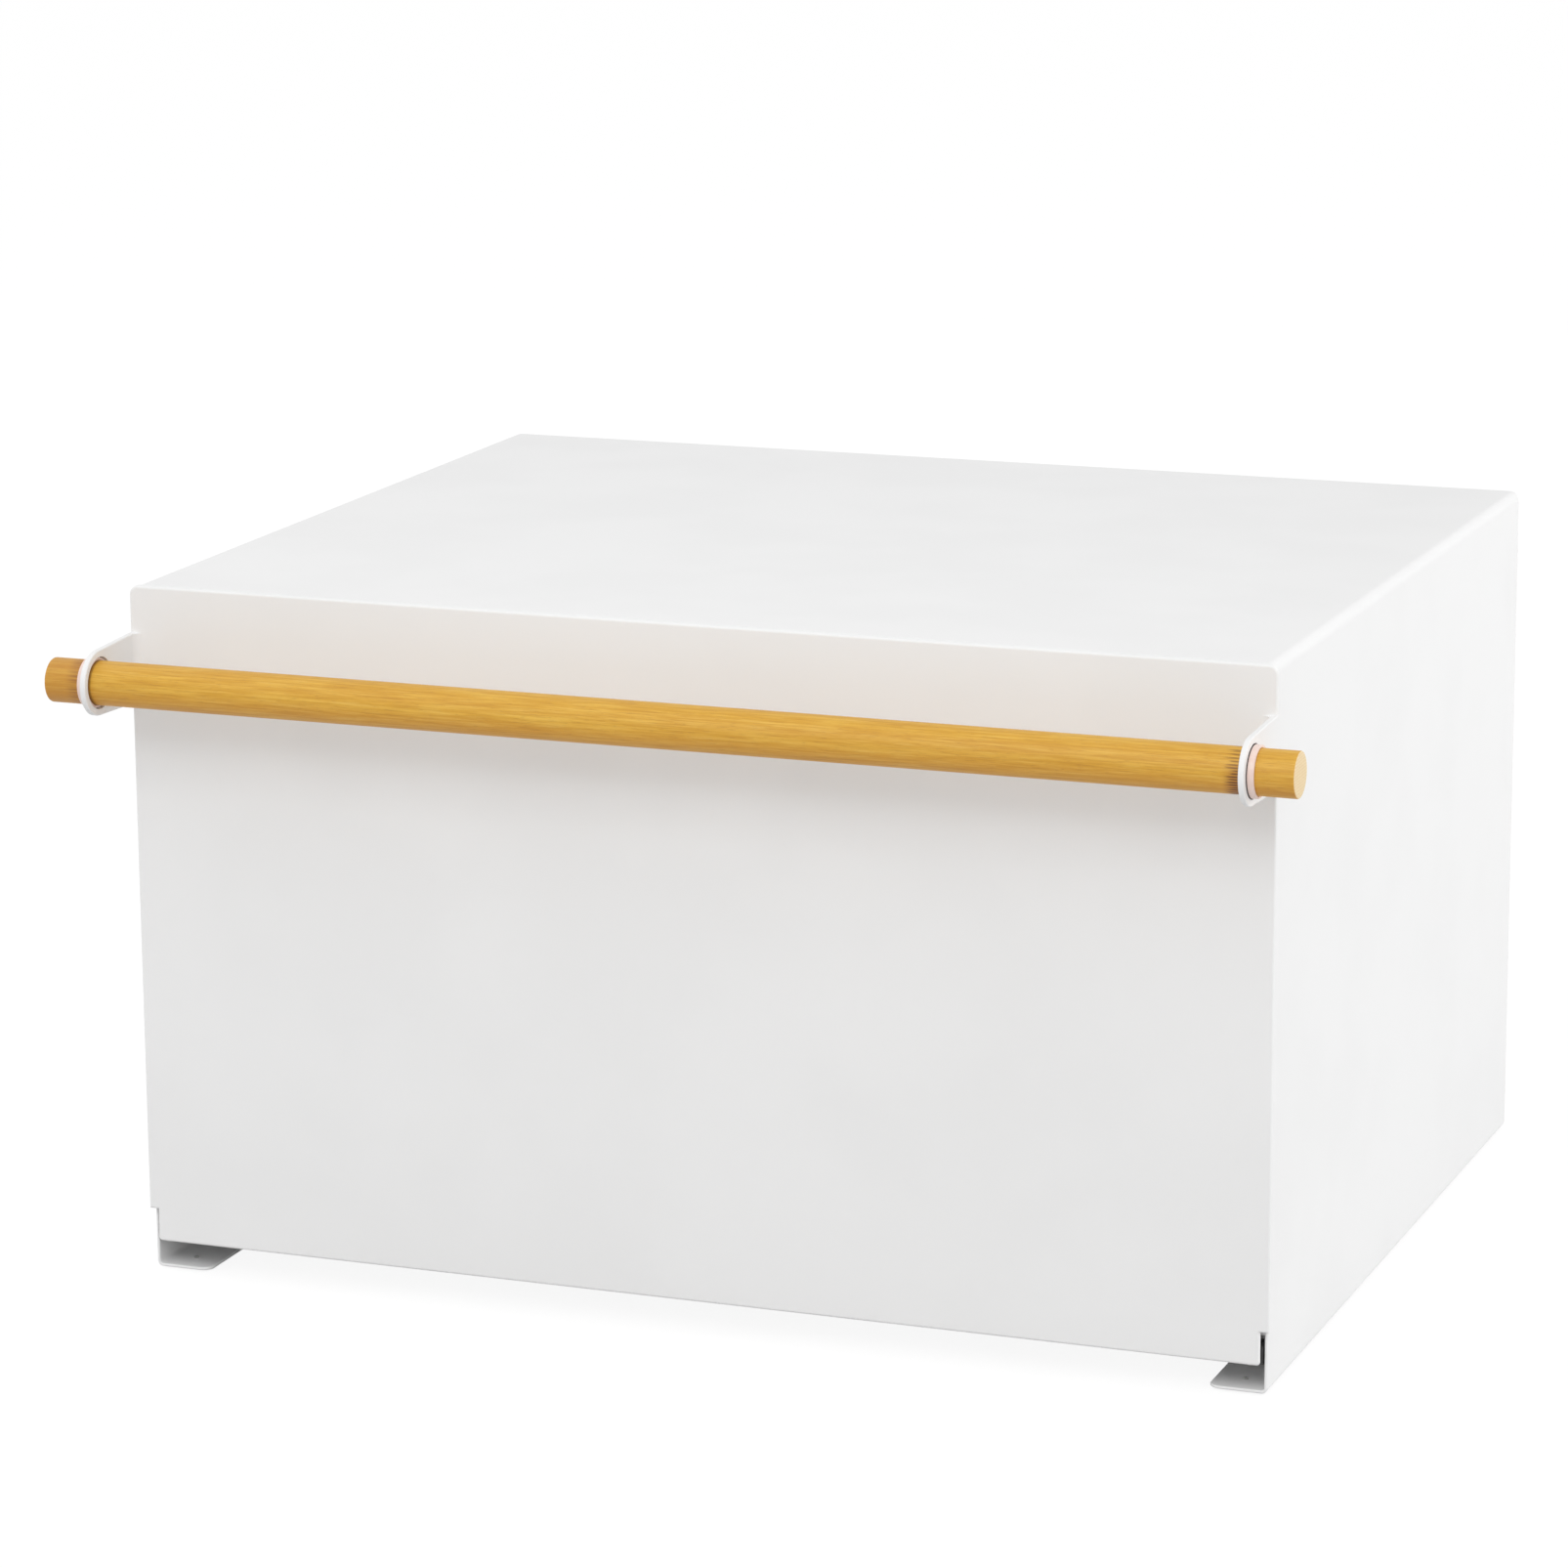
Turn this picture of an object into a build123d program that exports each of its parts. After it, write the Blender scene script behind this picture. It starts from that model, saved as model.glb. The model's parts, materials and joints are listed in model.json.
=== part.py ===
from build123d import *
import os

# A sheet-steel bread box with a drop-down door, at its real size in millimetres.
# X runs to the right, Y to the back and Z up, and the door faces -Y.
# The origin lies on the table, under the middle of the whole box with its handle.
# Every height is measured from the table.

os.makedirs("parts", exist_ok=True)

# Case
case_width = 397.6
case_depth = 320.2
box_height = 241.0
sheet = 1.0
top_bend = 3.2
foot_bend = 2.0
foot_width = 20.0
foot_corner = 4.0
soft_edge = 0.3

# Mouth, with its side edges turned in and its upper edge turned down
lip_width = 9.0
lip_height = 20.0
lip_above_notch = 2.2
mouth_corner = 3.0

# Back and floor
back_inset = 1.0
back_flange = 12.0
back_bend = 1.6
corner_play = 0.8
floor_flange = 9.0
floor_bend = 1.6
floor_above_ears = 2.5
floor_behind_ears = 3.6
floor_beside_pins = 1.3

# Foot pads
pad_thickness = 1.0
pad_diameter = 11.0
pad_hole = 1.8
pad_stem_proud = 0.4
pad_from_side = 10.0
pad_from_front = 10.0
pad_from_back = 12.0

# Door
door_overlay = 1.2
door_depth = 2.0
door_bend = 0.9
door_bottom = 11.0
door_low_corner = 1.2
notch_above_floor = 0.3
shut_gap = 0.4
notch_gap = 1.0

# Handle
rod_diameter = 15.0
rod_past_bushes = 12.6
rod_reach = 26.5
rod_from_top = 28.0
rod_edge = 0.6
ring_diameter = 22.0
ring_hole = 17.6
tab_thickness = 2.0
tab_root = 24.1
tab_blend = 3.2
tab_edge = 0.3
rod_bush_proud = 2.4
rod_bush_depth = 1.4
rod_bush_play = 0.35
rod_grip_play = 0.05

# Hinge
pin_above_door_edge = 3.0
pin_from_mouth = 3.9
pin_diameter = 4.0
pin_past_clip = 1.0
ear_inset = 3.0
ear_radius = 4.5
ear_hole = 5.7
bearing_play = 0.05
bush_spacer_diameter = 8.6
bush_end_gap = 0.4
bush_proud = 0.9
bush_fit = 0.05
clip_diameter = 7.4
clip_thickness = 0.6
clip_gap = 0.3
clip_mouth = 2.4
groove_diameter = 3.2
groove_play = 0.05

# Magnetic catches
catch_from_side = 68.8
catch_from_top = 10.5
catch_hole = 14.0
catch_flange_diameter = 17.0
catch_gap = 0.4
catch_depth = 8.0
magnet_diameter = 10.0
magnet_thickness = 4.0
pocket_play = 0.1

# Door bumpers
bumper_diameter = 6.0
bumper_gap = 0.3
bumper_from_top = 36.0

# Places worked out from the sizes above
overall_depth = rod_reach + ring_diameter / 2 + door_depth + shut_gap + case_depth
door_y = rod_reach + ring_diameter / 2 - overall_depth / 2
rod_y = door_y - rod_reach
mouth_y = door_y + door_depth + shut_gap
back_y = mouth_y + case_depth
pin_y = mouth_y + pin_from_mouth
pin_z = door_bottom + pin_above_door_edge
foot_z = pad_thickness
floor_z = pin_z + ear_radius + floor_above_ears + sheet
notch_z = floor_z + notch_above_floor
lip_z = notch_z + lip_above_notch
rod_z = box_height - rod_from_top
catch_z = box_height - catch_from_top
inner_top = box_height - sheet
mouth_top = box_height - lip_height
case_half = case_width / 2
inner_half = case_half - sheet
catch_x = case_half - catch_from_side
mouth_half = case_half - lip_width
door_half = case_half + door_overlay
notch_half = inner_half - notch_gap
ear_half = notch_half - ear_inset
lip_y = mouth_y + soft_edge
behind_door = lip_y - door_y - sheet

# Hinge sizes along a pin, counted from the side wall inwards
bush_face = notch_gap + ear_inset
bush_start = bush_end_gap
bush_end = bush_face + sheet + bush_proud
clip_start = bush_end + clip_gap
groove_start = clip_start - groove_play
groove_end = clip_start + clip_thickness + groove_play
pin_length = groove_end + pin_past_clip
pin_radius = pin_diameter / 2
bore_radius = pin_radius + bearing_play
barrel_radius = ear_hole / 2 - bush_fit

door_plane = Plane.XZ.offset(-door_y)
mouth_plane = Plane.XZ.offset(-mouth_y)
lip_plane = Plane.XZ.offset(-lip_y)
sides = {"left": -1, "right": 1}
low_middle = (Align.CENTER, Align.MIN)


def save(part, name):
    """Labels a finished piece and writes it under that name."""
    part.label = name
    export_step(part, f"parts/{name}.step")


def inward_plane(side):
    """The plane through a hinge pin's axis: its X runs from the side wall inwards, its Y up."""
    return Plane(origin=(side * inner_half, pin_y, pin_z), x_dir=(-side, 0, 0), z_dir=(0, side, 0))


def catch_plane(side):
    """The plane through a catch's axis: its X runs from the mouth's edge to the back, its Y up."""
    return Plane(origin=(side * catch_x, lip_y, catch_z), x_dir=(0, 1, 0), z_dir=(1, 0, 0))


def turned_part(plane, outline):
    """A turned piece: an outline of (along, radius) points, spun about the plane's X axis."""
    with BuildPart() as turned:
        with BuildSketch(plane):
            with BuildLine():
                Polyline(*outline, close=True)
            make_face()
        revolve(axis=Axis(plane.origin, plane.x_dir))
    return turned.part


# Case shell: one sheet bent into two sides, a top and two feet
with BuildPart() as case_shell:
    with BuildSketch(mouth_plane) as wrap:
        with Locations((0, foot_z)):
            Rectangle(case_width, box_height - foot_z, align=low_middle)
        fillet(wrap.vertices().group_by(Axis.Y)[-1], top_bend)
        fillet(wrap.vertices().group_by(Axis.Y)[0], foot_bend)
        offset(amount=-sheet, mode=Mode.SUBTRACT)
        with Locations((0, foot_z)):
            Rectangle(case_width - 2 * foot_width, 2 * sheet, align=low_middle, mode=Mode.SUBTRACT)
    extrude(amount=-case_depth)

    # The feet's free corners are rounded, and the cut edges are soft under the coating.
    foot_corners = case_shell.edges().filter_by(Axis.Z)
    foot_corners = foot_corners.filter_by_position(Axis.Z, foot_z, foot_z + sheet)
    fillet(foot_corners, foot_corner)
    chamfer(case_shell.faces().filter_by(Axis.Y).edges(), soft_edge)

    # The mouth's edges stand inside the sheet, with two holes for the catches.
    with BuildSketch(lip_plane) as lips:
        with Locations((0, lip_z)):
            Rectangle(2 * inner_half, inner_top - lip_z, align=low_middle)
        fillet(lips.vertices().group_by(Axis.Y)[-1], top_bend - sheet)
        with Locations((0, lip_z)):
            Rectangle(2 * mouth_half, mouth_top - lip_z, align=low_middle, mode=Mode.SUBTRACT)
        fillet(lips.vertices().group_by(Axis.Y)[1], mouth_corner)
        with Locations(*[(side * catch_x, catch_z) for side in sides.values()]):
            Circle(catch_hole / 2, mode=Mode.SUBTRACT)
    extrude(amount=-sheet)

    # One hole in each end of each foot takes a pad.
    pad_x = case_half - pad_from_side
    pad_rows = (mouth_y + pad_from_front, back_y - pad_from_back)
    with BuildSketch(Plane.XY.offset(foot_z)):
        with Locations(*[(side * pad_x, y) for side in sides.values() for y in pad_rows]):
            Circle(pad_hole / 2)
    extrude(amount=sheet, mode=Mode.SUBTRACT)
save(case_shell.part, "case_shell")

# Back panel: a shallow tray, open to the front, that stands on the floor panel
with BuildPart() as back_panel:
    with BuildSketch(Plane.XZ.offset(back_inset - back_y)) as back_outline:
        with Locations((0, floor_z)):
            Rectangle(2 * inner_half, inner_top - floor_z, align=low_middle)
        fillet(back_outline.vertices().group_by(Axis.Y)[-1], top_bend - sheet + corner_play)
    extrude(amount=back_flange)
    fillet(back_panel.faces().sort_by(Axis.Y)[-1].edges(), back_bend)
    offset(amount=-sheet, openings=back_panel.faces().sort_by(Axis.Y)[0])
save(back_panel.part, "back_panel")

# Floor panel: a tray turned upside down, cut back at the front for the door's ears
with BuildPart() as floor_panel:
    floor_length = back_y - back_inset - mouth_y
    with BuildSketch(Plane.XY.offset(floor_z)):
        with Locations((0, mouth_y)):
            Rectangle(2 * inner_half, floor_length, align=low_middle)
    extrude(amount=-floor_flange)
    fillet(floor_panel.edges().filter_by(Axis.X).group_by(Axis.Z)[-1], floor_bend)
    offset(amount=-sheet, openings=floor_panel.faces().sort_by(Axis.Z)[0])
    with BuildSketch(Plane.XY.offset(floor_z - sheet)):
        with Locations(*[(side * inner_half, mouth_y) for side in sides.values()]):
            ear_room = pin_from_mouth + ear_radius + floor_behind_ears
            Rectangle(2 * (pin_length + floor_beside_pins), 2 * ear_room)
    extrude(amount=-floor_flange, mode=Mode.SUBTRACT)
save(floor_panel.part, "floor_panel")

# Tab: a plate that stands forward at the door's edge and ends in a ring round the rod
with BuildPart() as tab:
    tab_inner = door_half - tab_thickness
    tab_plane = Plane.YZ.offset(tab_inner)
    with BuildSketch(tab_plane):
        with Locations((rod_y, rod_z)):
            Circle(ring_diameter / 2)
        with Locations((door_y, rod_z)):
            Rectangle(door_depth, tab_root, align=(Align.MIN, Align.CENTER))
        make_hull()
    extrude(amount=tab_thickness)
    chamfer(tab.faces().filter_by(Axis.X).edges(), tab_edge)
    with BuildSketch(tab_plane):
        with Locations((rod_y, rod_z)):
            Circle(ring_hole / 2)
    extrude(amount=tab_thickness, mode=Mode.SUBTRACT)

    # The coating fills the corner between the plate and the door's face.
    with BuildSketch(Plane.XY.offset(rod_z - tab_root / 2 + tab_edge)):
        with BuildLine():
            Line((tab_inner - tab_blend, door_y), (tab_inner, door_y))
            Line((tab_inner, door_y), (tab_inner, door_y - tab_blend))
            CenterArc((tab_inner - tab_blend, door_y - tab_blend), tab_blend, 0, 90)
        make_face()
    extrude(amount=tab_root - 2 * tab_edge)

# Ear: a plate that stands back near the door's lower corner, with a hole for the hinge bush
with BuildPart() as ear:
    ear_front = door_y + sheet / 2
    ear_height = pin_z + ear_radius - door_bottom
    with BuildSketch(Plane.YZ.offset(ear_half - sheet)):
        with Locations((ear_front, door_bottom)):
            Rectangle(pin_y - ear_front, ear_height, align=(Align.MIN, Align.MIN))
        with Locations((pin_y, pin_z)):
            Circle(ear_radius)
        make_hull()
        with Locations((pin_y, pin_z)):
            Circle(ear_hole / 2, mode=Mode.SUBTRACT)
    extrude(amount=sheet)

# Door panel: a shallow tray, open to the back and narrower where it stands between the sides
with BuildPart() as door_panel:
    with BuildSketch(door_plane) as door_outline:
        with Locations((0, notch_z)):
            Rectangle(2 * door_half, box_height - notch_z, align=low_middle)
        fillet(door_outline.vertices().group_by(Axis.Y)[-1], top_bend)
        with Locations((0, door_bottom)):
            Rectangle(2 * notch_half, notch_z - door_bottom, align=low_middle)
        fillet(door_outline.vertices().group_by(Axis.Y)[0], door_low_corner)
    extrude(amount=-door_depth)
    offset(amount=-sheet, openings=door_panel.faces().sort_by(Axis.Y)[-1])
    fillet(door_panel.faces().sort_by(Axis.Y)[0].edges(), door_bend)

    # Beside the ears only the face sheet is left, so that it passes close to the side walls.
    with BuildSketch(Plane.XZ.offset(-door_y - sheet)):
        with Locations(*[(side * notch_half, door_bottom) for side in sides.values()]):
            Rectangle(2 * ear_inset, notch_z - door_bottom, align=low_middle)
    extrude(amount=-door_depth, mode=Mode.SUBTRACT)
    for plate in (tab, ear):
        add(plate.part)
        mirror(plate.part, about=Plane.YZ)
save(door_panel.part, "door_panel")

# Handle rod
with BuildPart() as handle_rod:
    with BuildSketch(Plane.YZ):
        with Locations((rod_y, rod_z)):
            Circle(rod_diameter / 2)
    extrude(amount=door_half + rod_bush_proud + rod_past_bushes, both=True)
    chamfer(handle_rod.edges().filter_by(GeomType.CIRCLE), rod_edge)
save(handle_rod.part, "handle_rod")

# Bushes that hold the rod in the rings and stand proud of them outside
for name, side in sides.items():
    outer_x = door_half + rod_bush_proud
    inner_x = door_half - rod_bush_depth
    with BuildPart() as rod_bush:
        with BuildSketch(Plane.YZ.offset(min(side * inner_x, side * outer_x))):
            with Locations((rod_y, rod_z)):
                Circle(ring_hole / 2 - rod_bush_play)
                Circle(rod_diameter / 2 + rod_grip_play, mode=Mode.SUBTRACT)
        extrude(amount=outer_x - inner_x)
    save(rod_bush.part, f"rod_bush_{name}")

# Hinge: a stud welded inside each side wall, a clip on each stud and a bush in each ear,
# whose wide end keeps the ear away from the wall
stud_outline = [
    (0, 0),
    (0, pin_radius),
    (groove_start, pin_radius),
    (groove_start, groove_diameter / 2),
    (groove_end, groove_diameter / 2),
    (groove_end, pin_radius),
    (pin_length, pin_radius),
    (pin_length, 0),
]
bush_outline = [
    (bush_start, bore_radius),
    (bush_start, bush_spacer_diameter / 2),
    (bush_face, bush_spacer_diameter / 2),
    (bush_face, barrel_radius),
    (bush_end, barrel_radius),
    (bush_end, bore_radius),
]
for name, side in sides.items():
    save(turned_part(inward_plane(side), stud_outline), f"hinge_stud_{name}")
    save(turned_part(inward_plane(side), bush_outline), f"hinge_bush_{name}")

    # The clip is a flat ring, open at one side so that it snaps into the groove.
    clip_x = side * (inner_half - clip_start)
    with BuildPart() as hinge_clip:
        with BuildSketch(Plane.YZ.offset(min(clip_x, clip_x - side * clip_thickness))):
            with Locations((pin_y, pin_z)):
                Circle(clip_diameter / 2)
                Circle(groove_diameter / 2 + groove_play, mode=Mode.SUBTRACT)
                Rectangle(clip_mouth, clip_diameter, align=low_middle, mode=Mode.SUBTRACT)
        extrude(amount=clip_thickness)
    save(hinge_clip.part, f"hinge_clip_{name}")

# Magnetic catches pushed through the mouth's upper edge
flange_front = catch_gap - behind_door
pocket_radius = magnet_diameter / 2 + pocket_play
pocket_floor = flange_front + magnet_thickness
catch_radius = catch_hole / 2

body_outline = [
    (flange_front, pocket_radius),
    (flange_front, catch_flange_diameter / 2),
    (0, catch_flange_diameter / 2),
    (0, catch_radius),
    (catch_depth, catch_radius),
    (catch_depth, 0),
    (pocket_floor, 0),
    (pocket_floor, pocket_radius),
]
magnet_outline = [
    (pocket_floor, 0),
    (pocket_floor, magnet_diameter / 2),
    (flange_front, magnet_diameter / 2),
    (flange_front, 0),
]
for name, side in sides.items():
    save(turned_part(catch_plane(side), body_outline), f"catch_body_{name}")
    save(turned_part(catch_plane(side), magnet_outline), f"catch_magnet_{name}")

# Bumpers stuck to the door's inner face, in front of the mouth's side edges
for name, side in sides.items():
    with BuildPart() as door_bumper:
        with BuildSketch(Plane.XZ.offset(-door_y - sheet)):
            with Locations((side * (mouth_half + lip_width / 2), box_height - bumper_from_top)):
                Circle(bumper_diameter / 2)
        extrude(amount=bumper_gap - behind_door)
    save(door_bumper.part, f"door_bumper_{name}")

# Foot pads, each with a stem pressed up through its hole
pad_tip = foot_z + sheet + pad_stem_proud
pad_outline = [
    (0, 0),
    (0, pad_diameter / 2),
    (foot_z, pad_diameter / 2),
    (foot_z, pad_hole / 2),
    (pad_tip, pad_hole / 2),
    (pad_tip, 0),
]
for row, y in zip(("front", "back"), pad_rows):
    for name, side in sides.items():
        pad_plane = Plane(origin=(side * pad_x, y, 0), x_dir=(0, 0, 1), z_dir=(0, 1, 0))
        save(turned_part(pad_plane, pad_outline), f"foot_pad_{row}_{name}")
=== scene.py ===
import json
import math

import bmesh
import bpy
import numpy as np
from mathutils import Matrix, Vector


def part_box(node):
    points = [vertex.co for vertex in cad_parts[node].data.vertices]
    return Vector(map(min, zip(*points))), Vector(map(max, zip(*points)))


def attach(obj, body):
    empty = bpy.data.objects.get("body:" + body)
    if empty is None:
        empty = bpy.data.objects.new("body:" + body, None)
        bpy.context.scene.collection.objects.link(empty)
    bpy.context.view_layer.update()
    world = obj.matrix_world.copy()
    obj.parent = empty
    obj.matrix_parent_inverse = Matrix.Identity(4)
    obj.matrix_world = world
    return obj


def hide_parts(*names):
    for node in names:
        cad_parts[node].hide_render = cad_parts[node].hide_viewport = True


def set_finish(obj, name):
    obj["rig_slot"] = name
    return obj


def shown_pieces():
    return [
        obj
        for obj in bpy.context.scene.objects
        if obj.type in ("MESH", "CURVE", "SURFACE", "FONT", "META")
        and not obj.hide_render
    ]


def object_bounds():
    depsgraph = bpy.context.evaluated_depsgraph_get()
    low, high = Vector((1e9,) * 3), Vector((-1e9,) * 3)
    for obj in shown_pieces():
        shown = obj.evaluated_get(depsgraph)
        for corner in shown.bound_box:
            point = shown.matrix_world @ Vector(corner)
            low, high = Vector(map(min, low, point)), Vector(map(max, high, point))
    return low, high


# Looks for a white sheet-steel bread box with a wooden rod on its drop-down door.
# Lengths are in metres, +X runs to the right, +Y to the back and +Z up, as in the CAD model.

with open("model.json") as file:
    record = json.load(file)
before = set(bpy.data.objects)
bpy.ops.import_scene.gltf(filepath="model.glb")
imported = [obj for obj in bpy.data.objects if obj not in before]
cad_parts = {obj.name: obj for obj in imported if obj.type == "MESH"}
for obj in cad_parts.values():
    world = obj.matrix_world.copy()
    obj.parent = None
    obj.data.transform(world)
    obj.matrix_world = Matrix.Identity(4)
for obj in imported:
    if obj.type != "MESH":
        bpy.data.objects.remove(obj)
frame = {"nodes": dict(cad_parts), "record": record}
cad_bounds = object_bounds()
nodes = frame["nodes"]
sides = {"left": -1, "right": 1}
origin = (0, 0, 0)
mm = 0.001

# Sizes that the CAD nodes' boxes don't give
soft_rod_end = 0.6 * mm
soft_moulding = 0.25 * mm
soft_collar = 2 * soft_moulding
soft_catch = 1.6 * soft_moulding
soft_dome = 1.2 * mm
soft_metal = 0.12 * mm
foot_flange_top = 2.0 * mm
pad_stem_radius = 0.9 * mm
stud_radius = 2.0 * mm
ear_from_wall = 4.0 * mm
catch_flange = 1.3 * mm
groove_radius = 1.6 * mm
bush_bore_radius = 2.05 * mm
bush_barrel_radius = 2.8 * mm
catch_barrel_radius = 7.0 * mm
catch_pocket_radius = 5.1 * mm
bumper_shoulder = 0.45
tab_thickness = 2.0 * mm

# Fineness of the turned pieces
corner_steps = 5
longest_corner = 0.45
steps_around = 96
fine_steps_around = 160
sharp_angle = math.radians(40)
same_point = 1e-7


# Shapes

def soft_outline(points, rounding):
    """An outline whose corners are rounded: near corner c, between points a and b on its two runs,
    it follows (1 - t)^2 a + 2 t (1 - t) c + t^2 b for t from 0 to 1. Neither point lies farther away
    than a fixed share of its run."""
    points = np.array(points, float)
    corner, before, after = points[1:-1], points[:-2], points[2:]
    run_in = np.linalg.norm(before - corner, axis=1, keepdims=True)
    run_out = np.linalg.norm(after - corner, axis=1, keepdims=True)
    reach = np.minimum(rounding, longest_corner * np.minimum(run_in, run_out))
    a = corner + (before - corner) / run_in * reach
    b = corner + (after - corner) / run_out * reach
    t = np.linspace(0, 1, corner_steps)[None, :, None]
    arcs = (1 - t) ** 2 * a[:, None] + 2 * t * (1 - t) * corner[:, None] + t ** 2 * b[:, None]
    return np.vstack([points[:1], arcs.reshape(-1, 2), points[-1:]])


def turned(name, body, node, slot, start, toward, outline, rounding, around=steps_around):
    """A turned piece in place of a CAD node. The point at (along, radius, angle) lies at
    start + along * toward + radius * (cos(angle) * across + sin(angle) * up).
    An outline that starts and ends on the axis is a solid, and any other is closed to a ring."""
    start, toward = np.array(start), np.array(toward, float)
    across = np.cross(toward, (0, 1, 0) if abs(toward[1]) < 0.5 else (1, 0, 0))
    up = np.cross(toward, across)
    ring = outline[0][1] > 0
    closed = [outline[-1], *outline, outline[0]] if ring else outline
    line = soft_outline(closed, rounding)
    line = line[1:-1] if ring else line
    angle = np.linspace(0, 2 * np.pi, around, endpoint=False)[None, :, None]
    along, radius = line[:, 0, None, None], line[:, 1, None, None]
    points = start + along * toward + radius * (np.cos(angle) * across + np.sin(angle) * up)

    index = np.arange(len(line) * around).reshape(len(line), around)
    here = index if ring else index[:-1]
    ahead = np.roll(index, -1, axis=0) if ring else index[1:]
    quads = np.stack([here, ahead, np.roll(ahead, -1, axis=1), np.roll(here, -1, axis=1)], axis=-1)
    mesh = bpy.data.meshes.new(name)
    mesh.from_pydata(points.reshape(-1, 3), [], quads.reshape(-1, 4))

    # The poles' equal points become one, and the faces point outwards.
    shell = bmesh.new()
    shell.from_mesh(mesh)
    bmesh.ops.remove_doubles(shell, verts=shell.verts, dist=same_point)
    bmesh.ops.recalc_face_normals(shell, faces=shell.faces)
    shell.to_mesh(mesh)
    shell.free()
    mesh.shade_smooth()
    mesh.set_sharp_from_angle(angle=sharp_angle)

    piece = bpy.data.objects.new(name, mesh)
    bpy.context.scene.collection.objects.link(piece)
    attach(piece, body)
    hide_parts(node)
    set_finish(piece, slot)
    return piece


# Materials

def tone(code):
    """The linear red, green and blue of an sRGB hex code, with full alpha."""
    parts = [int(code[i:i + 2], 16) / 255 for i in (0, 2, 4)]
    return (*[p / 12.92 if p < 0.04045 else ((p + 0.055) / 1.055) ** 2.4 for p in parts], 1.0)


class Value:
    """A node's output. Python's operators on it add Math nodes to the same material."""

    def __init__(self, recipe, socket):
        self.recipe = recipe
        self.socket = socket

    def maths(self, operation, first, second):
        return self.recipe.node("ShaderNodeMath", {"operation": operation}, {0: first, 1: second})

    def __add__(self, other):
        return self.maths("ADD", self, other)

    def __radd__(self, other):
        return self.maths("ADD", other, self)

    def __sub__(self, other):
        return self.maths("SUBTRACT", self, other)

    def __mul__(self, other):
        return self.maths("MULTIPLY", self, other)

    def __rmul__(self, other):
        return self.maths("MULTIPLY", other, self)

    def __abs__(self):
        return self.maths("ABSOLUTE", self, 0)


class Recipe:
    """A node material, or the world, while it is put together."""

    def __init__(self, tree):
        self.tree = tree
        self.tree.nodes.clear()

    def node(self, kind, settings=None, inputs=None, output=0):
        """Adds a node: its settings first, then its sockets' values or links. Gives one output."""
        made = self.tree.nodes.new(kind)
        for name, setting in (settings or {}).items():
            if name == "stops":
                made.color_ramp.elements.remove(made.color_ramp.elements[1])
                made.color_ramp.elements[0].position, made.color_ramp.elements[0].color = setting[0]
                for place, colour in setting[1:]:
                    made.color_ramp.elements.new(place).color = colour
            else:
                setattr(made, name, setting)
        for name, value in (inputs or {}).items():
            if isinstance(value, Value):
                self.tree.links.new(value.socket, made.inputs[name])
            else:
                made.inputs[name].default_value = value
        return Value(self, made.outputs[output]) if len(made.outputs) else made

    def place(self, centre, size):
        """Object coordinates about a centre, in steps of the given size along each axis."""
        coordinates = self.node("ShaderNodeTexCoord", output="Object")
        return self.node("ShaderNodeMapping", {"vector_type": "TEXTURE"},
                         {"Vector": coordinates, "Location": centre, "Scale": size})

    def distance(self, axis, centre=origin):
        """The distance from a centre along X, Y or Z, with its sign."""
        return self.node("ShaderNodeSeparateXYZ", None, {"Vector": self.place(centre, (1, 1, 1))}, axis)

    def noise(self, centre, size, detail, roughness=0.5):
        """Soft noise with lumps of about the given size, near 0.5 on average."""
        return self.node("ShaderNodeTexNoise", {"noise_dimensions": "3D"},
                         {"Vector": self.place(centre, size), "Scale": 1.0, "Detail": detail,
                          "Roughness": roughness})

    def between(self, value, low, high):
        """0 below low, 1 above high, and smooth from one to the other."""
        return self.node("ShaderNodeMapRange", {"interpolation_type": "SMOOTHSTEP"},
                         {"Value": value, "From Min": low, "From Max": high})

    def mix(self, share, first, second):
        """Two colours mixed, with the second one's share given."""
        return self.node("ShaderNodeMix", {"data_type": "RGBA"}, {0: share, 6: first, 7: second}, 2)

    def bump(self, height, depth, strength):
        """A normal from a height, where a height of 1 stands as high as the given depth."""
        return self.node("ShaderNodeBump", None, {"Height": height, "Distance": depth, "Strength": strength})

    def surface(self, **sockets):
        """The finished surface, with the shader's sockets named in words joined by underscores."""
        named = {}
        for name, value in sockets.items():
            named[name.replace("_", " ").title().replace("Ior", "IOR")] = value
        shader = self.node("ShaderNodeBsdfPrincipled", None, named)
        self.node("ShaderNodeOutputMaterial", None, {"Surface": shader})

    def seen_rays(self):
        """1 for the rays that are seen, straight or in a mirror or glass, and 0 for those that only light."""
        straight = self.node("ShaderNodeLightPath", output="Is Camera Ray")
        mirrored = self.node("ShaderNodeLightPath", output="Is Glossy Ray")
        through_glass = self.node("ShaderNodeLightPath", output="Is Transmission Ray")
        return straight + mirrored + through_glass


def new_recipe(name):
    """A new node material and the recipe that fills it."""
    material = bpy.data.materials.new(name)
    material.use_nodes = True
    return material, Recipe(material.node_tree)


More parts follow.
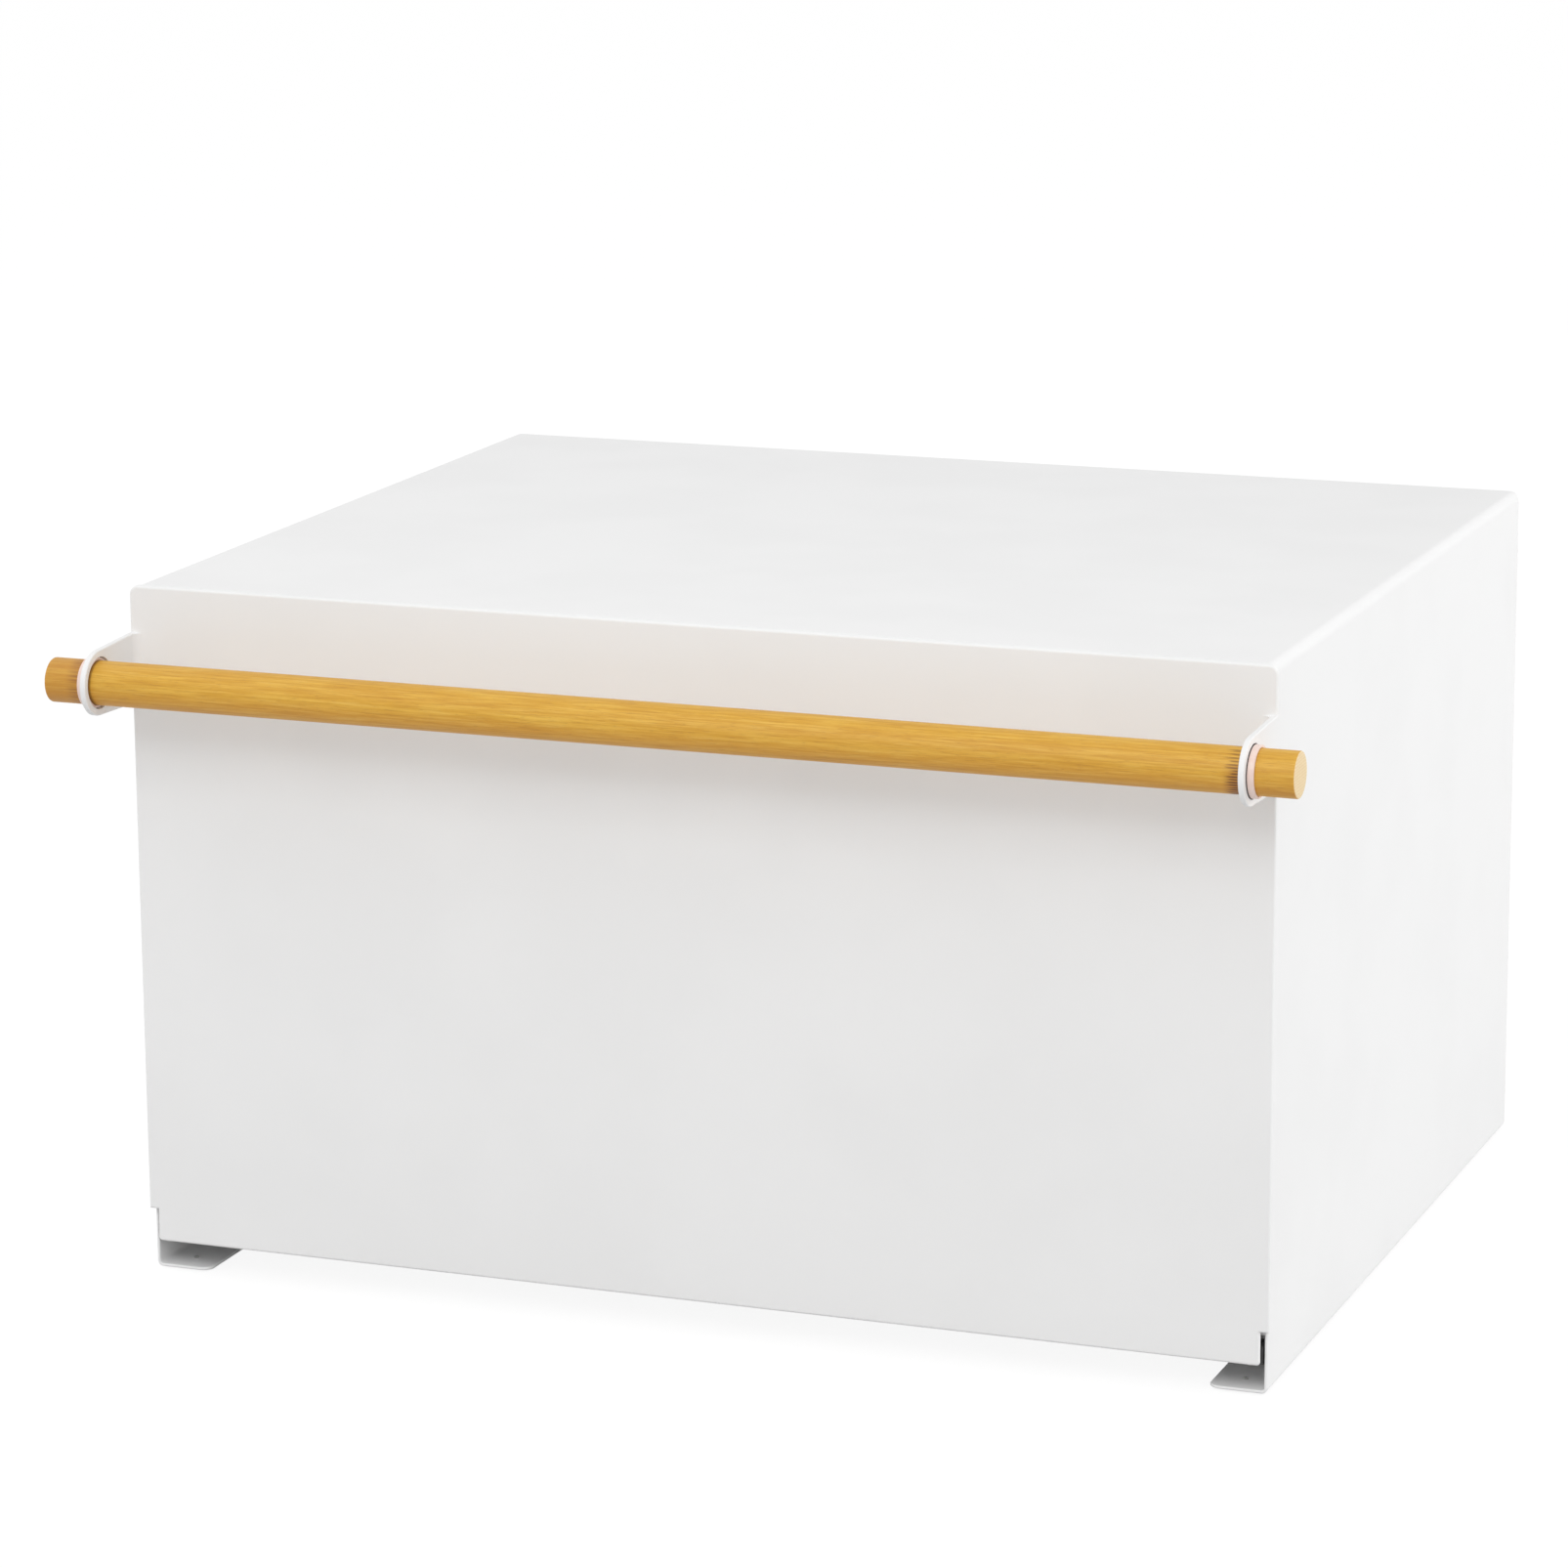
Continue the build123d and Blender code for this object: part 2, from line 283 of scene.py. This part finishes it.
def powder_coat():
    """White powder coat: a fine orange peel over a slower swell, and a gloss that varies a little."""
    material, r = new_recipe("powder_coat")
    peel_size, grit_size, swell_size = 1.1 * mm, 0.28 * mm, 60 * mm
    peel = r.noise(origin, (peel_size,) * 3, detail=2.0, roughness=0.55)
    grit = r.noise(origin, (grit_size,) * 3, detail=1.0)
    swell = r.noise(origin, (swell_size,) * 3, detail=2.0)
    colour = r.mix(r.between(swell, 0.35, 0.65), tone("F0F0F0"), tone("F2F2F2"))
    colour = r.mix(0.05 * r.between(grit, 0.55, 0.75), colour, tone("D8D8D8"))
    roughness = 0.56 + 0.08 * peel + 0.04 * swell
    relief = r.bump(peel + 0.25 * grit, depth=0.03 * mm, strength=0.5)
    r.surface(base_color=colour, roughness=roughness, specular_ior_level=0.3, normal=relief)
    return material


def oiled_wood():
    """Golden wood along X: long fibres, fine pores, slow figure, burnt fibre tips beside the right ring,
    painted shade on the rod's lower side, beside the rings and where the rod enters them, and pale end grain
    with pores and faint growth lines."""
    golden = [(0.0, tone("CE982A")), (0.42, tone("D5A030")), (0.6, tone("DAA73A")), (1.0, tone("E2B344"))]
    fibre_size = (24 * mm, 0.9 * mm, 0.9 * mm)
    streak_size = (16 * mm, 0.4 * mm, 0.4 * mm)
    pore_size = (4 * mm, 0.2 * mm, 0.2 * mm)
    figure_size = (90 * mm, 6 * mm, 6 * mm)
    comb_size = (30 * mm, 1.2 * mm, 0.9 * mm)
    tip_end_size = (60 * mm, 0.6 * mm, 0.6 * mm)
    growth_line_size = (1, 3 * mm, 1.6 * mm)
    heart_below = 12 * mm
    tip_length = 12 * mm
    burnt_length = 7 * mm
    stub_length = 8 * mm

    material, r = new_recipe("oiled_wood")
    low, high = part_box("handle_rod")
    axis = (0, (low.y + high.y) / 2, (low.z + high.z) / 2)
    pore_centre = (0.3, axis[1], axis[2])
    tip_centre = (0.2, axis[1], axis[2])
    fibre = r.noise(axis, fibre_size, detail=4.0, roughness=0.62)
    streak = r.noise(axis, streak_size, detail=3.0, roughness=0.6)
    pore = r.noise(pore_centre, pore_size, detail=2.0, roughness=0.6)
    figure = r.noise(axis, figure_size, detail=3.0)
    colour = r.node("ShaderNodeValToRGB", {"stops": golden}, {"Fac": r.between(fibre, 0.28, 0.72)})
    colour = r.mix(0.3 * r.between(figure, 0.45, 0.7), colour, tone("C88C28"))
    height = r.distance("Z", axis)
    # Painted shade: darker and redder towards the rod's lower side
    colour = r.mix(0.4 * r.between(height, 1.5 * mm, -4 * mm), colour, tone("CC8630"))
    colour = r.mix(0.4 * r.between(streak, 0.53, 0.7), colour, tone("B47B28"))
    colour = r.mix(0.35 * r.between(streak, 0.47, 0.32), colour, tone("EAC564"))
    colour = r.mix(0.4 * r.between(pore, 0.58, 0.7), colour, tone("A56E28"))

    # Burnt fibre tips inside the right ring, over a brown band of painted shade beside the ring that is
    # strongest on the rod's lower side; the tips are also darker on the lower side, as painted shade
    along = r.distance("X")
    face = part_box("door_panel")[1].x
    ring_inside = face - tab_thickness
    comb = r.node("ShaderNodeTexWave", {"bands_direction": "Z"},
                  {"Vector": r.place(axis, comb_size), "Scale": 0.31, "Distortion": 2.4,
                   "Detail": 1.0, "Detail Scale": 2.0}, "Fac")
    tip_end = r.noise(tip_centre, tip_end_size, detail=1.0, roughness=0.5)
    low_side = r.between(height, 6 * mm, -2 * mm)
    within = r.between(along, face, ring_inside)
    painted_ring_shade = r.between(along, ring_inside - burnt_length, ring_inside - 1.5 * mm) * within * low_side
    colour = r.mix(0.7 * painted_ring_shade, colour, tone("9C5E24"))
    tips = r.between(along + tip_length * tip_end, ring_inside, ring_inside + 1.6 * mm) * within
    tips = tips * r.between(along, ring_inside - burnt_length, ring_inside - 2.5 * mm)
    tips = tips * (0.55 + 0.45 * low_side)
    colour = r.mix(0.95 * tips * r.between(comb, 0.3, 0.55), colour, tone("643A16"))

    # The rod's end outside the left ring is browner, most of all in streaks beside the ring, where the
    # darkening is partly stain and partly painted shade from the ring
    stub = r.between(along, 3 * mm - face, -face - 1 * mm)
    colour = r.mix(0.45 * stub, colour, tone("B87A30"))
    stub = stub * r.between(along, -face - stub_length, -face - 3 * mm)
    colour = r.mix(stub * (0.3 + 0.5 * r.between(streak, 0.42, 0.58)), colour, tone("96602A"))

    # Painted shade: a dark line where the rod enters each ring, the shade in the gap between rod and ring
    painted_gap_shade = r.between(abs(along), ring_inside - 0.5 * mm, ring_inside + 0.1 * mm)
    painted_gap_shade = painted_gap_shade * r.between(abs(along), ring_inside + 1.2 * mm, ring_inside + 0.6 * mm)
    colour = r.mix(0.5 * painted_gap_shade, colour, tone("5A3A1C"))

    # End grain
    facing = r.node("ShaderNodeTexCoord", output="Normal")
    facing = abs(r.node("ShaderNodeSeparateXYZ", None, {"Vector": facing}, "X"))
    rings = r.node("ShaderNodeTexWave", {"bands_direction": "Z"},
                   {"Vector": r.place((0, axis[1], axis[2] - heart_below), growth_line_size),
                    "Scale": 0.5, "Distortion": 1.5, "Detail": 1.0})
    end = r.mix(r.between(rings, 0.2, 0.9) * 0.35, tone("EED8AC"), tone("E0BD84"))
    end = r.mix(r.between(pore, 0.5, 0.62) * 0.4, end, tone("C99A58"))
    colour = r.mix(r.between(facing, 0.55, 0.85), colour, end)
    relief = 0.6 * fibre + streak - 0.8 * r.between(pore, 0.62, 0.72)
    r.surface(base_color=colour, roughness=0.44 + 0.16 * streak,
              normal=r.bump(relief, depth=0.04 * mm, strength=0.5))
    return material


def mould_texture(r, lump):
    """The fine texture that a spark-eroded mould leaves, with lumps of the given size."""
    return r.noise(origin, (lump,) * 3, detail=2.0, roughness=0.6)


def mould_flow(r, colour, shade):
    """Two colours in the slow pattern in which the material flowed."""
    flow_size = (5 * mm, 3 * mm, 5 * mm)
    flow = r.noise(origin, flow_size, detail=3.0)
    return r.mix(r.between(flow, 0.35, 0.65), tone(colour), tone(shade))


def mould_relief(r, texture):
    """The shallow relief of that texture, as a normal."""
    return r.bump(texture, depth=0.02 * mm, strength=0.6)


def bush_polymer():
    """Pale polymer, with painted shade: dark in the ring's bore and in a thin line where it leaves the ring.
    """
    material, r = new_recipe("pale_polymer")
    texture = mould_texture(r, 0.3 * mm)
    colour = mould_flow(r, "EFD9D0", "ECD2C8")
    along = r.distance("X")
    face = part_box("door_panel")[1].x
    # Painted shade in the ring's bore and in the thin gap where the bush leaves the ring
    painted_gap_shade = r.between(abs(along), face + 0.35 * mm, face + 0.22 * mm)
    painted_gap_shade = painted_gap_shade * r.between(abs(along), face - 0.9 * mm, face - 0.6 * mm)
    r.surface(base_color=r.mix(painted_gap_shade, colour, tone("2E2422")), roughness=0.36 + 0.12 * texture,
              normal=mould_relief(r, texture))
    return material


def pad_rubber():
    """Grey rubber, with pale dust on the stems' tops."""
    material, r = new_recipe("grey_rubber")
    texture = mould_texture(r, 0.2 * mm)
    height = r.distance("Z")
    dust = r.between(height, 1.9 * mm, 2.2 * mm) * (0.8 + 0.2 * texture)
    r.surface(base_color=r.mix(dust, tone("3A3A38"), tone("B8B8B4")), roughness=0.54 + 0.12 * texture,
              normal=mould_relief(r, texture))
    return material


def moulded(name, colour, shade, rough, lump):
    """Moulded plastic or rubber: a fine spark-eroded texture and a faint flow of colour."""
    material, r = new_recipe(name)
    texture = mould_texture(r, lump)
    r.surface(base_color=mould_flow(r, colour, shade), roughness=rough - 0.06 + 0.12 * texture,
              normal=mould_relief(r, texture))
    return material


def plated(name, colour, shade, rough):
    """Plated metal: fine turning lines across X and small stains."""
    material, r = new_recipe(name)
    line_size = (0.08 * mm, 4 * mm, 4 * mm)
    stain_size = 1.4 * mm
    lines = r.noise(origin, line_size, detail=2.0, roughness=0.6)
    stain = r.noise(origin, (stain_size,) * 3, detail=4.0, roughness=0.6)
    r.surface(base_color=r.mix(r.between(stain, 0.4, 0.65), tone(colour), tone(shade)),
              metallic=1.0, roughness=rough - 0.05 + 0.12 * stain,
              normal=r.bump(lines, depth=0.01 * mm, strength=0.5))
    return material


finishes = {
    "powder_coat": powder_coat(),
    "wood": oiled_wood(),
    "pale_polymer": bush_polymer(),
    "steel": plated("zinc_plate", "C8CACC", "B2B5B8", rough=0.32),
    # Painted shade: black acetal for the hinge spacers, so that the slot beside each lower corner of the door
    # reads as deep shade
    "black_acetal": moulded("black_acetal", "242424", "1E1E1E", rough=0.45, lump=0.25 * mm),
    "nylon": moulded("white_nylon", "EDECE6", "E6E5DD", rough=0.4, lump=0.25 * mm),
    "magnet": plated("nickel_plate", "D8D4CC", "C6C2BA", rough=0.2),
    "silicone": moulded("clear_silicone", "DEDEDA", "D2D2CE", rough=0.3, lump=0.5 * mm),
    "rubber": pad_rubber(),
}

# The rod and the two bushes that hold it in the door's rings
rod_low, rod_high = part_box("handle_rod")
rod_middle = (rod_low + rod_high) / 2
rod_length = rod_high.x - rod_low.x
rod_radius = (rod_high.z - rod_low.z) / 2
turned("oiled_rod", "door", "handle_rod", "wood", (rod_low.x, rod_middle.y, rod_middle.z), (1, 0, 0),
       [(0, 0), (0, rod_radius), (rod_length, rod_radius), (rod_length, 0)], soft_rod_end, fine_steps_around)
for name, side in sides.items():
    low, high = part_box(f"rod_bush_{name}")
    depth, radius = high.x - low.x, (high.z - low.z) / 2
    inner_x = low.x if side > 0 else high.x
    turned(f"rod_collar_{name}", "door", f"rod_bush_{name}", "pale_polymer",
           (inner_x, rod_middle.y, rod_middle.z), (side, 0, 0),
           [(0, rod_radius), (0, radius), (depth, radius), (depth, rod_radius)],
           soft_collar, fine_steps_around)

# The hinge's welded studs and the bushes that turn on them
for name, side in sides.items():
    low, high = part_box(f"hinge_stud_{name}")
    pin = (low + high) / 2
    wall_x = high.x if side > 0 else low.x
    length = high.x - low.x
    low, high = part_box(f"hinge_clip_{name}")
    near = abs(wall_x) - max(abs(low.x), abs(high.x))
    far = abs(wall_x) - min(abs(low.x), abs(high.x))
    turned(f"welded_stud_{name}", "case", f"hinge_stud_{name}", "steel",
           (wall_x, pin.y, pin.z), (-side, 0, 0),
           [(0, 0), (0, stud_radius), (near, stud_radius), (near, groove_radius), (far, groove_radius),
            (far, stud_radius), (length, stud_radius), (length, 0)], soft_metal)
    low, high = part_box(f"hinge_bush_{name}")
    spacer = (high.z - low.z) / 2
    near = abs(wall_x) - max(abs(low.x), abs(high.x))
    far = abs(wall_x) - min(abs(low.x), abs(high.x))
    # Painted shade: the spacer bushes are black so that the slot beside each lower corner of the door reads
    # as deep shade
    turned(f"spacer_bush_{name}", "door", f"hinge_bush_{name}", "black_acetal",
           (wall_x, pin.y, pin.z), (-side, 0, 0),
           [(near, bush_bore_radius), (near, spacer), (ear_from_wall, spacer),
            (ear_from_wall, bush_barrel_radius), (far, bush_barrel_radius), (far, bush_bore_radius)],
           soft_moulding)

# The catches in the mouth's upper edge, with a magnet in each
for name in sides:
    low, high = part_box(f"catch_body_{name}")
    axis = (low + high) / 2
    depth, flange = high.y - low.y, (high.z - low.z) / 2
    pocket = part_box(f"catch_magnet_{name}")[1].y - low.y
    turned(f"catch_barrel_{name}", "case", f"catch_body_{name}", "nylon",
           (axis.x, low.y, axis.z), (0, 1, 0),
           [(pocket, 0), (pocket, catch_pocket_radius), (0, catch_pocket_radius), (0, flange),
            (catch_flange, flange), (catch_flange, catch_barrel_radius), (depth, catch_barrel_radius),
            (depth, 0)], soft_catch)
    low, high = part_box(f"catch_magnet_{name}")
    thickness, radius = high.y - low.y, (high.z - low.z) / 2
    turned(f"catch_disc_{name}", "case", f"catch_magnet_{name}", "magnet", (axis.x, low.y, axis.z), (0, 1, 0),
           [(0, 0), (0, radius), (thickness, radius), (thickness, 0)], soft_moulding)

# Domed bumpers on the door's inner face
for name in sides:
    low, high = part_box(f"door_bumper_{name}")
    axis = (low + high) / 2
    height, radius = high.y - low.y, (high.z - low.z) / 2
    turned(f"domed_bumper_{name}", "door", f"door_bumper_{name}", "silicone",
           (axis.x, low.y, axis.z), (0, 1, 0),
           [(0, 0), (0, radius), (bumper_shoulder * height, radius), (height, bumper_shoulder * radius),
            (height, 0)], soft_dome)

# Foot pads, each with a stem through its foot
for row in ("front", "back"):
    for name in sides:
        low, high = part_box(f"foot_pad_{row}_{name}")
        axis = (low + high) / 2
        radius = (high.x - low.x) / 2
        flange = foot_flange_top / 2
        turned(f"rubber_pad_{row}_{name}", "case", f"foot_pad_{row}_{name}", "rubber",
               (axis.x, axis.y, 0), (0, 0, 1),
               [(0, 0), (0, radius), (flange, radius), (flange, pad_stem_radius),
                (high.z, pad_stem_radius), (high.z, 0)], soft_moulding)

# Every shown piece gets the finish of its material slot.
slot_of = {part["node"]: part["material_slot"] for part in frame["record"]["subparts"]}
for name, node in nodes.items():
    for slot in node.material_slots:
        slot.material = finishes[slot_of[name]]
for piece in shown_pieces():
    if "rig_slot" in piece:
        piece.data.materials.append(finishes[piece["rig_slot"]])

# Floor, white world and lamps
pure_white = (1, 1, 1, 1)
floor_grey = (0.6, 0.6, 0.6, 1)
floor_glow = 1.16
floor_glow_share = 0.78
floor_half = 8.0
floor_material, r = new_recipe("pale_floor")
seen = r.seen_rays()
matt = r.node("ShaderNodeBsdfDiffuse", None, {"Color": floor_grey})
white = r.node("ShaderNodeEmission", None, {"Color": pure_white, "Strength": floor_glow})
mixed = r.node("ShaderNodeMixShader", None, {0: floor_glow_share * seen, 1: matt, 2: white})
r.node("ShaderNodeOutputMaterial", None, {"Surface": mixed})
floor_mesh = bpy.data.meshes.new("floor")
corners = np.array([(-1, -1), (1, -1), (1, 1), (-1, 1)]) * floor_half
floor_mesh.from_pydata(np.column_stack([corners, np.zeros(4)]), [], [(0, 1, 2, 3)])
floor_mesh.materials.append(floor_material)
floor = bpy.data.objects.new("floor", floor_mesh)
bpy.context.scene.collection.objects.link(floor)

world_light = 0.7
world = bpy.data.worlds.new("white_room")
world.use_nodes = True
bpy.context.scene.world = world
r = Recipe(world.node_tree)
seen = r.seen_rays()
room = r.node("ShaderNodeBackground", None, {"Color": pure_white, "Strength": world_light})
white = r.node("ShaderNodeBackground", None, {"Color": pure_white, "Strength": 1.0})
mixed = r.node("ShaderNodeMixShader", None, {0: seen, 1: room, 2: white})
r.node("ShaderNodeOutputWorld", None, {"Surface": mixed})

object_middle = (cad_bounds[0] + cad_bounds[1]) / 2


def softbox(name, place, width, height, power):
    """A white rectangular lamp that faces the object's middle."""
    lamp = bpy.data.lights.new(name, "AREA")
    lamp.shape = "RECTANGLE"
    lamp.size, lamp.size_y = width, height
    lamp.energy = power
    shown = bpy.data.objects.new(name, lamp)
    shown.location = place
    shown.rotation_mode = "QUATERNION"
    shown.rotation_quaternion = (object_middle - Vector(place)).to_track_quat("-Z", "Y")
    bpy.context.scene.collection.objects.link(shown)


# Each lamp's name, place, width, height and power in watts
lamps = [
    ("front_softbox", (0.25, -1.75, 1.55), 1.2, 0.8, 8.2),
    ("low_softbox", (0.1, -2.1, 1.2), 2.4, 0.9, 5.3),
    ("high_softbox", (0.25, -1.2, 1.9), 1.2, 0.8, 3.6),
    ("upper_left_softbox", (-1.3, -0.2, 1.7), 1.2, 0.8, 2.6),
    ("right_softbox", (2.0, 0.5, 0.32), 1.4, 0.5, 13.0),
    ("rear_softbox", (-0.3, 2.1, 0.12), 1.6, 0.2, 8.0),
    ("left_softbox", (-2.1, 0.1, 0.12), 1.4, 0.2, 4.0),
]
for name, place, width, height, power in lamps:
    softbox(name, place, width, height, power)

# Camera, at the photograph's viewing angle. Its angles are in radians and its lens in millimetres.
camera_place = (0.66707, -1.80129, 0.60556)
yaw = 0.36405
pitch = 0.22971
roll = -0.00668
sensor_width = 36.0
focal_length = 129.41
camera_data = bpy.data.cameras.new("camera")
camera_data.sensor_width = sensor_width
camera_data.lens = focal_length
camera = bpy.data.objects.new("camera", camera_data)
camera.matrix_world = (Matrix.Translation(camera_place) @ Matrix.Rotation(yaw, 4, "Z")
                       @ Matrix.Rotation(math.pi / 2 - pitch, 4, "X") @ Matrix.Rotation(roll, 4, "Z"))
bpy.context.scene.collection.objects.link(camera)
bpy.context.scene.camera = camera
bpy.context.scene.view_settings.view_transform = "Standard"
